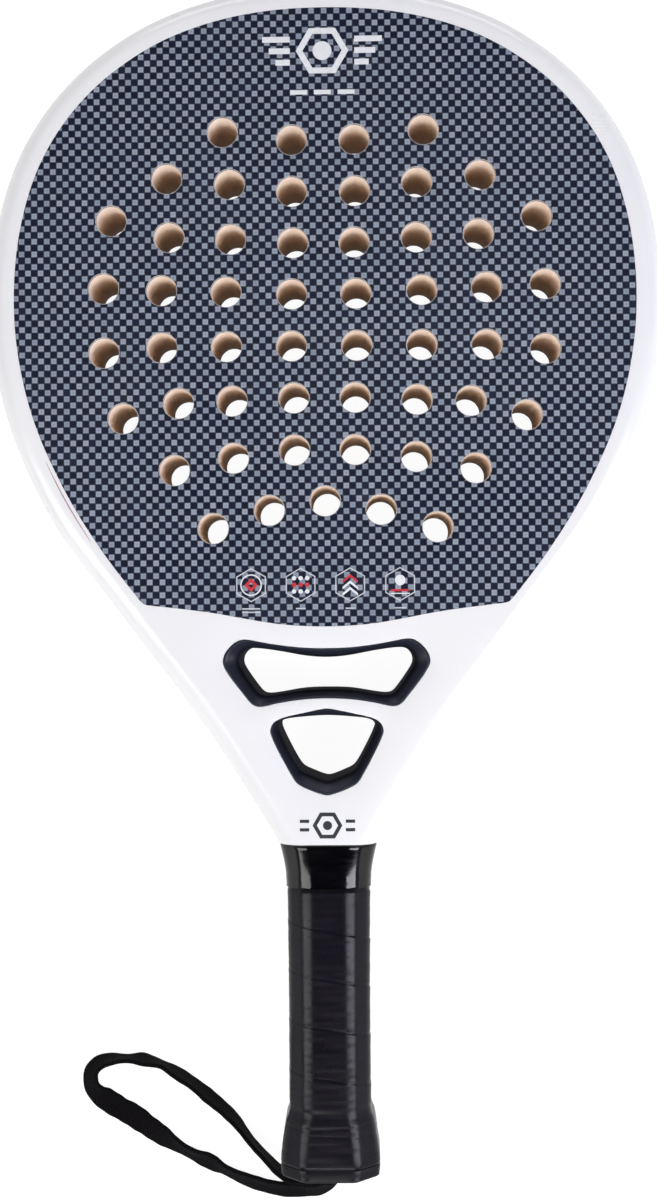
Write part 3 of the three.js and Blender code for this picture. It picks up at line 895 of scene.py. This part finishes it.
def make_core():
    b = Build()
    edge = offset(FACE, -0.3)
    z0, z1 = 1.02, THICK - 1.02
    levels = np.linspace(z0, z1, 13)
    outer = [b.add(at_z(edge, z)) for z in (z0, z1)]
    b.band(outer[0], outer[1])
    loops, top, bot = [edge], list(outer[1]), list(outer[0])
    for x, y in HOLE_AT:
        rings = []
        ph = rng.uniform(0, 6.28)
        for z in levels:
            a = (np.arange(HOLE_N) + 0.5) / HOLE_N * 2 * math.pi
            wob = 0.035 * np.sin(3 * a + ph + z * 0.35) + 0.02 * np.sin(7 * a - z * 0.8 + ph)
            edge_in = 0.06 * (1 - min(1, abs(z - MID) / (MID - 1.1)) ** 6)
            r = HOLE_R + wob * (1 if z0 < z < z1 else 0) + edge_in
            rings.append(b.add(np.column_stack([x + r * np.cos(a), y + r * np.sin(a), np.full(HOLE_N, z)])))
        for lo, hi in zip(rings, rings[1:]):
            b.band(hi, lo)
        loops.append(circle(x, y, HOLE_R, HOLE_N))
        bot += rings[0]
        top += rings[-1]
    for t in fill(loops):
        b.face([top[i] for i in t])
        b.face([bot[i] for i in t[::-1]])
    obj = b.mesh("drilled_core", [M_CORE], sharp=40)
    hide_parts("foam_core")
    return obj


make_core()


# ------------------------------------------------------------------------------------------------
# window sleeves
# ------------------------------------------------------------------------------------------------
def make_sleeve(name, node, out, inn):
    b = Build()
    sec = [(0.0, 37.55), (0.02, 37.85), (0.06, 38.02), (0.13, 38.06), (0.20, 37.92), (0.28, 37.55), (0.50, 36.5), (0.72, 35.4),
           (0.84, 34.6), (0.93, 33.6), (0.98, 32.2), (1.0, 30.4), (1.0, 25.0), (1.0, MID)]
    sec = sec + [(t, THICK - z) for t, z in sec[::-1][1:]]
    rings = [b.add(at_z(out * (1 - t) + inn * t, z)) for t, z in sec]
    for r0, r1 in zip(rings, rings[1:]):
        b.band(r1, r0)
    b.band(rings[0], rings[-1])
    obj = b.mesh(name, [M_MOULD], sharp=50)
    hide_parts(node)
    return obj


def start_alike(a, b):
    """b's points rolled so that they start beside a's first point."""
    ca = a.mean(0)
    out = []
    k = np.argmin(((b - a[0]) ** 2).sum(1))
    return np.roll(b, -k, 0)


make_sleeve("upper_window_trim", "upper_window_sleeve", UP_OUT, start_alike(UP_OUT, UP_IN))
make_sleeve("lower_window_trim", "lower_window_sleeve", LO_OUT, start_alike(LO_OUT, LO_IN))


# ------------------------------------------------------------------------------------------------
# handle
# ------------------------------------------------------------------------------------------------
def octagon(a, b, fx, fz, r, n=14):
    """Rounded octagon in the XZ plane, centred on the handle's axis: half sizes a, b, half flats fx, fz, corner radius
    r.
    Starts at the middle of the underside and goes by the left side, the top and the right side."""
    c = [(-fx, -b), (-a, -fz), (-a, fz), (-fx, b), (fx, b), (a, fz), (a, -fz), (fx, -b)]
    pts = [(0.0, -b)]
    m = len(c)
    for i in range(m):
        p0, p1, p2 = np.array(c[i - 1]), np.array(c[i]), np.array(c[(i + 1) % m])
        u, v = p0 - p1, p2 - p1
        lu, lv = np.linalg.norm(u), np.linalg.norm(v)
        u, v = u / lu, v / lv
        ang = math.acos(max(-1, min(1, float(u @ v))))
        d = min(r / math.tan(ang / 2), lu * 0.47, lv * 0.47)
        for t in np.linspace(0, 1, 7):
            q = (1 - t) ** 2 * (p1 + u * d) + 2 * t * (1 - t) * p1 + t ** 2 * (p1 + v * d)
            pts.append(tuple(q))
    pts = np.array(pts)
    return resample(pts, 8 * n, True)


def lathe_oct(b, stations, cap0=True, cap1=True, n=14, m=0):
    """stations: (y, a, b, corner radius, flat share). Y falls along the list."""
    rings = []
    for y, a, h, r, fl in stations:
        o = octagon(a, h, a * fl, h * fl, r, n)
        rings.append(b.add(np.column_stack([o[:, 0], np.full(len(o), y), MID + o[:, 1]])))
    for r0, r1 in zip(rings, rings[1:]):
        b.band(r0, r1, m)
    return rings


def tube(name, outer, inner, mat, sharp=40):
    """Closed sleeve between an outer and an inner stack of stations that share their two end heights."""
    b = Build()
    ro = lathe_oct(b, outer)
    ri = lathe_oct(b, inner)
    for r0, r1 in zip(ri, ri[1:]):
        pass
    b.f = [f for f in b.f]
    b.band(ro[-1], ri[-1])
    b.band(ri[0], ro[0])
    return b, ro, ri


FL = 0.54


def make_collar():
    b = Build()
    N = 34
    top, low = NECK_Y - 0.4, -117.6
    out = [(top, 17.4, 18.0, 9.0, FL), (top - 0.05, 18.0, 18.35, 9.0, FL), (top - 0.35, 18.4, 18.62, 9.2, FL), (top - 0.9, 18.52, 18.68, 9.2, FL)]
    for t in np.linspace(0.06, 1, 34):
        y = top - 0.9 + (low + 0.6 - top + 0.9) * t
        a = 16.12 + 2.4 * (1 - t) ** 1.7
        h = 17.55 + 1.15 * (1 - t) ** 1.5
        # shallow rolls of the stretched sleeve, and the lap of its lower edge
        roll = 0.012 * math.sin(y * 0.7)
        lap = 0.10 / (1 + math.exp((y + 113.4) * 4))
        out.append((y, a + roll + lap, h + roll + lap, 9.2, FL))
    out += [(low + 0.3, 16.28, 17.7, 9.0, FL), (low + 0.05, 16.1, 17.5, 9.0, FL), (low, 15.7, 17.1, 8.8, FL)]
    inn = [(top, 13.9, 15.1, 3.5, FL), (low, 13.9, 15.1, 3.5, FL)]
    ro, ri = lathe_oct(b, out, n=N), []
    for y, a, h, r, fl in inn:
        o = octagon(a, h, a * fl, h * fl, r, N)
        ri.append(b.add(np.column_stack([o[:, 0], np.full(len(o), y), MID + o[:, 1]])))
    b.band(ri[1], ri[0])
    b.band(ro[-1], ri[1])
    b.band(ri[0], ro[0])
    obj = b.mesh("neck_collar_moulding", [M_COLLAR], sharp=45)
    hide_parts("neck_collar")


make_collar()

PITCH = 18.6
SEAM_RIGHT = -119.8                                           # a seam's height at the right side


def grip_size(y):
    """Half width, half thickness, corner radius of the wrapped handle at y."""
    ys = [-227.4, -224, -219, -214, -209.5, -206.0, -203.6, -201, -160, -118]
    a = [18.5, 19.0, 18.75, 18.1, 17.5, 16.9, 15.9, 15.55, 15.45, 15.75]
    h = [17.9, 18.0, 17.9, 17.75, 17.6, 17.5, 17.3, 17.2, 17.15, 17.25]
    r = [5.0, 5.2, 6.0, 6.4, 6.8, 7.0, 7.4, 7.6, 7.6, 8.2]
    return np.interp(y, ys, a), np.interp(y, ys, h), np.interp(y, ys, r)


def make_grip():
    b = Build()
    y_top, y_low = -117.65, -222.55
    ny = 270
    ys = np.linspace(y_top, y_low, ny)
    ncirc = 8 * 26
    u = np.arange(ncirc) / ncirc                              # 0 underside, 0.25 left, 0.5 front, 0.75 right
    rings = []
    for j, y in enumerate(ys):
        a, h, r = grip_size(y)
        o = octagon(a, h, a * FL, h * FL, r, 26)
        nrm = np.roll(o, -1, 0) - np.roll(o, 1, 0)
        nrm = np.stack([-nrm[:, 1], nrm[:, 0]], 1)
        nrm /= np.linalg.norm(nrm, axis=1)[:, None]
        if (nrm * o).sum() < 0:
            nrm = -nrm
        # height of the seam at this place round the handle: it falls from left to right across the front
        seam = SEAM_RIGHT + PITCH * (0.75 - u)
        wander = 0.35 * np.sin(2 * math.pi * u + y * 0.05) + 0.25 * np.sin(2 * math.pi * 2 * u + 1.3)
        f = ((seam + wander - y) / PITCH) % 1.0                # 0 just under a seam, growing downwards
        # each turn laps over the one above it: a raised lip under the seam that eases out
        deep = (0.26 + 0.56 * np.exp(-((u - 0.71) / 0.10) ** 2) + 0.26 * np.exp(-((u - 0.28) / 0.08) ** 2)) * np.clip((y + 203.0) / 3.0, 0.0, 1.0)       # the lap shows less on the front than at the right
        lip = deep * (0.36 * np.exp(-f * 8.0) * (1 - np.exp(-f * 110.0)) - 0.20 * np.exp(-((1 - f) * 28.0) ** 2))
        puff = 0.10 * np.sin(math.pi * np.clip(f, 0, 1)) ** 0.8
        dents = 0.035 * np.sin(y * 0.9 + 3 * u * 2 * math.pi) * np.sin(y * 0.23 + 1) + 0.012 * np.sin(y * 2.1 - 2 * u * 2 * math.pi)
        crease = -0.10 * np.exp(-((y + 201.8 + 0.5 * np.cos(4 * math.pi * u)) / 1.3) ** 2)
        crease = crease - 0.07 * np.exp(-((y + 207.4 + 0.7 * np.sin(2 * math.pi * u)) / 0.6) ** 2) - 0.06 * np.exp(-((y + 210.6 + 0.9 * np.cos(2 * math.pi * u + 1)) / 0.4) ** 2)
        fade = min(1.0, (y_top - y) / 1.2) * min(1.0, (y - y_low) / 0.8)
        d = (lip + puff + dents + crease) * fade - 0.20 * (1 - fade)
        o = o + nrm * d[:, None]
        rings.append(b.add(np.column_stack([o[:, 0], np.full(len(o), y), MID + o[:, 1]])))
    for r0, r1 in zip(rings, rings[1:]):
        b.band(r0, r1)
    inner = []
    for y, a, h in ((y_top, 13.9, 15.1), (-203.5, 13.9, 15.1), (-219.0, 16.6, 16.1), (y_low, 16.6, 16.1)):
        o = octagon(a, h, a * FL, h * FL, 3.5, 26)
        inner.append(b.add(np.column_stack([o[:, 0], np.full(len(o), y), MID + o[:, 1]])))
    for r0, r1 in zip(inner, inner[1:]):
        b.band(r1, r0)
    b.band(rings[-1], inner[-1])
    b.band(inner[0], rings[0])
    obj = b.mesh("spiral_grip", [M_GRIP], sharp=60)
    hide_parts("grip_wrap")


make_grip()

SLOT = (-9.0, 9.0, 7.3, 18.6)                                 # of the end plate: x0, x1, z0, z1


def make_butt():
    b = Build()
    st = []
    for y, k in ((-219.12, -2.55), (-222.60, -2.55), (-222.62, -0.30), (-222.85, -0.05), (-223.3, 0.0), (-224.6, 0.0), (-226.4, 0.0)):
        a, h, r = grip_size(y)
        if k < -1:
            a, h, r = 18.8, 18.3, 3.6
        st.append((y, a + k, h + k, r, FL))
    for k in range(1, 8):
        t = k / 7 * math.pi / 2
        a, h, r = grip_size(-226.4)
        st.append((-226.4 - 1.0 * math.sin(t), a - 1.3 * (1 - math.cos(t)), h - 1.1 * (1 - math.cos(t)), 2.8, FL))
    ro = lathe_oct(b, st)
    inner = [(-219.12, 11.9, 12.9, 3), (-224.4, 11.9, 12.9, 3), (-224.5, 12.35, 12.0, 3), (-226.4, 12.35, 12.0, 3), (-227.15, 12.5, 12.15, 3), (-227.4, 12.85, 12.5, 3)]
    ri = []
    for y, a, h, r in inner:
        o = octagon(a, h, a * FL, h * FL, r)
        ri.append(b.add(np.column_stack([o[:, 0], np.full(len(o), y), MID + o[:, 1]])))
    for r0, r1 in zip(ri, ri[1:]):
        b.band(r1, r0)
    b.band(ro[-1], ri[-1])
    b.band(ri[0], ro[0])
    obj = b.mesh("butt_cap_moulding", [M_RUBBER], sharp=40)
    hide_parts("butt_cap")
    # end plate with its slot
    b = Build()
    o0 = octagon(12.0, 11.6, 12.0 * FL, 11.6 * FL, 2.8)
    o1 = octagon(11.65, 11.25, 11.65 * FL, 11.25 * FL, 2.8)
    x0, x1, z0, z1 = SLOT[0] + 2.0, SLOT[1] - 2.0, SLOT[2] + 0.55, SLOT[3]       # kept inside the plate's cut corners
    cx, cz, hx, hz = (x0 + x1) / 2, (z0 + z1) / 2 - MID, (x1 - x0) / 2, (z1 - z0) / 2

    def pill(g, n=10):
        r = 2.6
        pts = []
        for sx, sz, a0 in ((1, 1, 0), (-1, 1, 90), (-1, -1, 180), (1, -1, 270)):
            for a in np.linspace(a0, a0 + 90, n):
                pts.append((cx + sx * (hx - r) + (r + g) * math.cos(math.radians(a)), cz + sz * (hz - r) + (r + g) * math.sin(math.radians(a))))
        return np.array(pts)
    yf, yb = END_Y + 0.05, -224.8
    o0, o1 = ccw(o0), ccw(o1)
    F0, F1 = b.add(np.column_stack([o1[:, 0], np.full(len(o1), yf), MID + o1[:, 1]])), b.add(np.column_stack([o0[:, 0], np.full(len(o0), yf + 0.35), MID + o0[:, 1]]))
    Bk = b.add(np.column_stack([o0[:, 0], np.full(len(o0), yb), MID + o0[:, 1]]))
    pa, pb = pill(0.06), pill(0.0)
    P0 = b.add(np.column_stack([pa[:, 0], np.full(len(pa), yf), MID + pa[:, 1]]))
    P1 = b.add(np.column_stack([pb[:, 0], np.full(len(pb), yf + 0.2), MID + pb[:, 1]]))
    P2 = b.add(np.column_stack([pb[:, 0], np.full(len(pb), yb), MID + pb[:, 1]]))
    ids = F0 + P0
    for t in fill([o1, pa]):
        b.face([ids[i] for i in t])
    ids = Bk + P2
    for t in fill([o0, pb]):
        b.face([ids[i] for i in t[::-1]])
    b.band(F0, F1)
    b.band(F1, Bk)
    b.band(P1, P0)
    b.band(P2, P1)
    obj = b.mesh("end_plate_moulding", [M_MOULD], sharp=35)
    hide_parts("end_plate")


make_butt()

# ------------------------------------------------------------------------------------------------
# printed marks: plain shapes in thin ink
# ------------------------------------------------------------------------------------------------
def put_poly(b, loops, z, m, h=0.03):
    """Thin flat print: outline and holes, standing h proud."""
    loops = [ccw(np.asarray(p, float)) for p in loops]
    top, bot = [], []
    for p in loops:
        t, q = b.add(at_z(p, z + h)), b.add(at_z(p, z - 0.01))
        b.band(q, t, m)
        top += t
        bot += q
    for t in fill(loops):
        b.face([top[i] for i in t], m)
        b.face([bot[i] for i in t[::-1]], m)


def hexagon(cx, cy, w, h, g=0.0):
    a, c = w / 2 - g, h / 2 - g * 1.15
    return [(cx, cy + c), (cx - a, cy + c * 0.5), (cx - a, cy - c * 0.5), (cx, cy - c), (cx + a, cy - c * 0.5), (cx + a, cy + c * 0.5)]


def make_prints():
    b = Build()
    z = THICK + 0.012
    # badges
    ys = -2.4
    for k, cx in enumerate((-28.2, -9.5, 9.2, 28.0)):
        put_poly(b, [hexagon(cx, ys, 11.2, 12.9), hexagon(cx, ys, 11.2, 12.9, 0.42)], z, 1)
        if k == 0:      # target: red square on its corner in a white ring
            put_poly(b, [[(cx, ys + 2.6), (cx - 2.6, ys), (cx, ys - 2.6), (cx + 2.6, ys)], [(cx, ys + 1.1), (cx - 1.1, ys), (cx, ys - 1.1), (cx + 1.1, ys)]], z, 2)
            put_poly(b, [circle(cx, ys, 4.1, 32), circle(cx, ys, 3.6, 32)], z, 0)
        elif k == 1:    # rows of dots
            for i in (-1, 0, 1):
                for j in (-1, 0, 1):
                    put_poly(b, [circle(cx + i * 2.5, ys + j * 2.5, 0.85, 20)], z, 2 if j == 0 else 0)
        elif k == 2:    # upward arrows
            for q, mm in ((-2.6, 0), (-0.2, 0), (2.2, 2)):
                put_poly(b, [[(cx, ys + q + 1.7), (cx - 2.9, ys + q - 0.7), (cx - 2.9, ys + q - 1.7), (cx, ys + q + 0.6), (cx + 2.9, ys + q - 1.7), (cx + 2.9, ys + q - 0.7)]], z, mm)
        else:           # ball over a bar
            put_poly(b, [circle(cx, ys + 1.5, 2.0, 28)], z, 0)
            put_poly(b, [[(cx - 3.6, ys - 1.9), (cx - 3.6, ys - 2.7), (cx + 3.6, ys - 2.7), (cx + 3.6, ys - 1.9)]], z, 2)
            put_poly(b, [[(cx - 3.6, ys - 3.3), (cx - 3.6, ys - 3.7), (cx + 3.6, ys - 3.7), (cx + 3.6, ys - 3.3)]], z, 0)
        w = (3.4, 1.8, 1.8, 2.2)[k]
        put_poly(b, [[(cx - w, ys - 8.7), (cx - w, ys - 9.2), (cx + w, ys - 9.2), (cx + w, ys - 8.7)]], z, 1)
        if k == 0:
            put_poly(b, [[(cx - w, ys - 10.0), (cx - w, ys - 10.5), (cx + w, ys - 10.5), (cx + w, ys - 10.0)]], z, 1)
    # plain white emblem at the top: a hexagon between rows of bars, over dashes
    def hexa(cx, cy, r):
        return [(cx + r * math.cos(math.radians(k * 60)), cy + r * math.sin(math.radians(k * 60))) for k in range(6)]

    def bar(x0, x1, y0, y1, m, lean=0.0):
        put_poly(b, [[(x0, y0), (x1, y0), (x1 + lean, y1), (x0 + lean, y1)]], z, m)
    cy = 200.0
    put_poly(b, [hexa(0, cy, 10.0), hexa(0, cy, 7.4)], z, 0)
    put_poly(b, [circle(0, cy, 3.6, 40)], z, 0)
    for k, w in ((1, 10.5), (0, 8.0), (-1, 5.5)):
        for s_ in (-1, 1):
            x0, x1 = sorted((s_ * 12.2, s_ * (12.2 + w)))
            bar(x0, x1, cy + k * 4.4 - 1.1, cy + k * 4.4 + 1.1, 0)
    for cx in (-9, 0, 9):
        bar(cx - 3.2, cx + 3.2, cy - 16.6, cy - 14.9, 0)
    # small dark mark on the throat in the same plain style
    cy = -93.0
    put_poly(b, [hexa(0, cy, 5.6), hexa(0, cy, 4.0)], z, 3)
    put_poly(b, [circle(0, cy, 1.7, 28)], z, 3)
    for s_ in (-1, 1):
        for k in (1, -1):
            x0, x1 = sorted((s_ * 6.9, s_ * 10.4))
            bar(x0, x1, cy + k * 1.6 - 0.6, cy + k * 1.6 + 0.6, 3)
    # a short, fine pinstripe that tapers out, on the rim beside the lower left of the face
    line = offset(FACE, 1.5)
    line = line[(line[:, 0] < -85) & (line[:, 1] > 14) & (line[:, 1] < 46)]
    line = resample(line[np.argsort(-line[:, 1])], 40)
    d = np.gradient(line, axis=0)
    d /= np.linalg.norm(d, axis=1)[:, None]
    w = 0.26 * np.sin(np.linspace(0.03, 0.97, 40) * math.pi) ** 0.7
    nn = np.stack([-d[:, 1], d[:, 0]], 1) * w[:, None]
    put_poly(b, [np.vstack([line + nn, (line - nn)[::-1]])], z, 4)
    obj = b.mesh("printed_marks", [M_INK_W, M_INK_G, M_INK_R, M_INK_D, M_INK_P], sharp=30, smooth=False)


make_prints()

# ------------------------------------------------------------------------------------------------
# inner pieces keep their CAD shapes and get their own finishes
# ------------------------------------------------------------------------------------------------
for node, mat in (("frame_foam_filler", M_FILLER), ("handle_half_front", M_RESIN), ("handle_half_back", M_RESIN),
                  ("cushion_underwrap", M_CUSHION), ("cord_anchor_bar", M_STEEL)):
    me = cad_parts[node].data
    me.materials.clear()
    me.materials.append(mat)

# ------------------------------------------------------------------------------------------------
# stage and light
# ------------------------------------------------------------------------------------------------
def make_stage():
    b = Build()
    ids = b.add([(-3000, -3000, 0), (3000, -3000, 0), (3000, 3000, 0), (-3000, 3000, 0)])
    b.face(ids)
    m = Nodes("pale_floor")
    m.set(color=(0.18, 0.18, 0.182), rough=0.9, spec=0.0)
    m.b.inputs["Emission Color"].default_value = (1, 1, 1, 1)
    m.b.inputs["Emission Strength"].default_value = 0.955
    obj = b.mesh("floor", [m.mat], body=None)
    obj.location.z = -0.0002
    obj.visible_diffuse = False                             # the bright floor lights nothing from below
    obj.visible_glossy = False
    # the pale table round the racket lights its sides; none of it lies under the head, so the holes stay dark
    ring = offset(OUTER, -4.0)[::4]
    far = circle(0, 0, 2500, 48)
    pts = np.vstack([far, ring])
    tris = fill([far, ring])
    for name, power, z, seen in (("pale_table", 1.30, -0.0003, "diffuse"), ("pale_table_sheen", 0.68, -0.0006, "glossy")):
        b = Build()
        ids = b.add(np.column_stack([pts[:, 0], pts[:, 1], np.full(len(pts), 0.0)]))
        for t in tris:
            b.face([ids[i] for i in t])
        m = Nodes(name)
        m.set(color=(0.1, 0.1, 0.1), rough=0.9, spec=0.0)
        m.b.inputs["Emission Color"].default_value = (1, 1, 1, 1)
        m.b.inputs["Emission Strength"].default_value = power
        o = b.mesh(name, [m.mat], body=None)
        o.location.z = z
        o.visible_camera = False
        o.visible_shadow = False
        o.visible_diffuse = seen == "diffuse"
        o.visible_glossy = seen == "glossy"


make_stage()


def soft_light(name, place, target, size, power, color=(1, 1, 1)):
    l = bpy.data.lights.new(name, "AREA")
    l.shape = "RECTANGLE"
    l.size, l.size_y = size
    l.energy = power
    l.color = color
    o = bpy.data.objects.new(name, l)
    d = (Vector(target) - Vector(place)).normalized()
    o.location = place
    o.rotation_euler = d.to_track_quat("-Z", "Y").to_euler()
    scene.collection.objects.link(o)
    return o


soft_light("softbox_left", (-1.08, -0.40, 0.95), (0, -0.10, 0.03), (0.50, 1.3), 9.4, (1.0, 0.985, 0.975))
soft_light("softbox_right", (1.08, -0.40, 0.95), (0, -0.10, 0.03), (0.40, 1.3), 15.0, (0.90, 0.91, 1.0))
soft_light("softbox_head", (0.0, 1.72, 0.50), (0, 0.05, 0), (1.6, 0.6), 9.5)
soft_light("softbox_foot", (0.0, -1.06, 1.20), (0, 0.05, 0), (1.3, 0.30), 10.4, (1.0, 0.99, 0.97))

# a steeper softbox that reaches down into the drilled holes only
into_holes = soft_light("softbox_holes", (0.0, -0.20, 0.42), (0, 0.04, 0.03), (0.16, 0.24), 0.78, (1.0, 0.985, 0.96))
only = bpy.data.collections.new("drilled_core_only")
only.objects.link(bpy.data.objects["drilled_core"])
into_holes.light_linking.receiver_collection = only

world = bpy.data.worlds.new("studio")
world.use_nodes = True
wt = world.node_tree
sky = wt.nodes.new("ShaderNodeTexCoord")
part = wt.nodes.new("ShaderNodeSeparateXYZ")
fall = wt.nodes.new("ShaderNodeValToRGB")
low = fall.color_ramp.elements.new(0.0)
fall.color_ramp.elements[0].position, fall.color_ramp.elements[0].color = 0.0, (0.10, 0.10, 0.11, 1)
fall.color_ramp.elements[1].position, fall.color_ramp.elements[1].color = 0.10, (0.34, 0.34, 0.38, 1)
fall.color_ramp.elements[2].position, fall.color_ramp.elements[2].color = 0.70, (0.012, 0.012, 0.014, 1)
wt.links.new(sky.outputs["Generated"], part.inputs[0])
wt.links.new(part.outputs["Z"], fall.inputs[0])
wt.links.new(fall.outputs[0], wt.nodes["Background"].inputs[0])
wt.nodes["Background"].inputs[1].default_value = 1.0
scene.world = world
scene.view_settings.view_transform = "Standard"
scene.view_settings.look = "None"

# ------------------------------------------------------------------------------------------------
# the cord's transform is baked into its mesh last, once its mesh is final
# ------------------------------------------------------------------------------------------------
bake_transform(strap)
